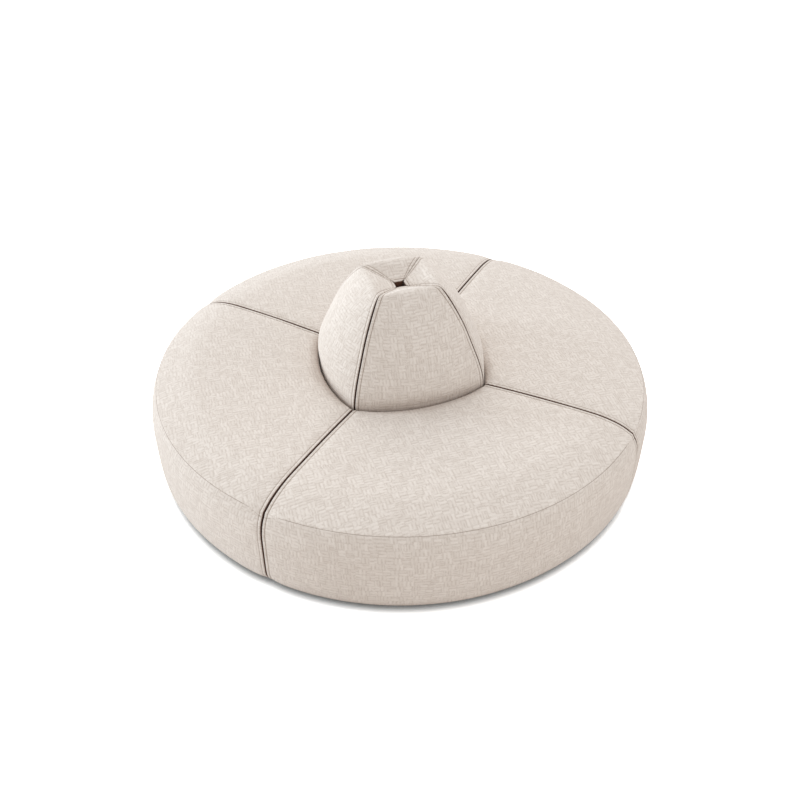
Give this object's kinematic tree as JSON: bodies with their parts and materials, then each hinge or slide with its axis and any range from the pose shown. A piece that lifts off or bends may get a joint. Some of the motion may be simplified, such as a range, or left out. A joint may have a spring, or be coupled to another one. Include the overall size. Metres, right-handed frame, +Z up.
{
  "type": "patio sofa",
  "caption": "Round outdoor island sofa of quarter-circle modules, fully upholstered in ivory weave, with a bulged central back block and a square pole hole.",
  "frame": {"origin": "on the floor, in the middle of the square pole hole", "axes": "+Z up, the front module towards -Y, the right module towards +X; the gaps between modules run at 45 degrees"},
  "size_m": [2.14, 2.14, 0.8001],
  "materials": {
    "ivory_weave": "matte woven outdoor fabric",
    "foam": "open-cell foam, matte",
    "plywood": "sanded birch plywood",
    "pine": "planed pine",
    "zinc_steel": "zinc plated",
    "glide_plastic": "matte"
  },
  "bodies": {
    "front_module": {"front_glides": "glide_plastic", "front_base_panel": "plywood", "front_outer_rim": "plywood", "front_side_boards": "plywood", "front_bearers": "plywood", "front_back_board": "plywood", "front_deck_slats": "pine", "front_side_padding": "foam", "front_seat_foam": "foam", "front_seat_cover": "ivory_weave", "front_back_frame": "plywood", "front_back_laths": "plywood", "front_angle_brackets": "zinc_steel", "front_back_foam": "foam", "front_back_cover": "ivory_weave"},
    "right_module": {"right_glides": "glide_plastic", "right_base_panel": "plywood", "right_outer_rim": "plywood", "right_side_boards": "plywood", "right_bearers": "plywood", "right_back_board": "plywood", "right_deck_slats": "pine", "right_side_padding": "foam", "right_seat_foam": "foam", "right_seat_cover": "ivory_weave", "right_back_frame": "plywood", "right_back_laths": "plywood", "right_angle_brackets": "zinc_steel", "right_back_foam": "foam", "right_back_cover": "ivory_weave"},
    "rear_module": {"rear_glides": "glide_plastic", "rear_base_panel": "plywood", "rear_outer_rim": "plywood", "rear_side_boards": "plywood", "rear_bearers": "plywood", "rear_back_board": "plywood", "rear_deck_slats": "pine", "rear_side_padding": "foam", "rear_seat_foam": "foam", "rear_seat_cover": "ivory_weave", "rear_back_frame": "plywood", "rear_back_laths": "plywood", "rear_angle_brackets": "zinc_steel", "rear_back_foam": "foam", "rear_back_cover": "ivory_weave"},
    "left_module": {"left_glides": "glide_plastic", "left_base_panel": "plywood", "left_outer_rim": "plywood", "left_side_boards": "plywood", "left_bearers": "plywood", "left_back_board": "plywood", "left_deck_slats": "pine", "left_side_padding": "foam", "left_seat_foam": "foam", "left_seat_cover": "ivory_weave", "left_back_frame": "plywood", "left_back_laths": "plywood", "left_angle_brackets": "zinc_steel", "left_back_foam": "foam", "left_back_cover": "ivory_weave"}
  },
  "joints": [
    {"name": "right_pull_out", "type": "slide", "parent": "front_module", "child": "right_module", "axis": [1, 0, 0], "range_m": [0, 0.75]},
    {"name": "rear_pull_out", "type": "slide", "parent": "front_module", "child": "rear_module", "axis": [0, 1, 0], "range_m": [0, 0.75]},
    {"name": "left_pull_out", "type": "slide", "parent": "front_module", "child": "left_module", "axis": [-1, 0, 0], "range_m": [0, 0.75]}
  ]
}
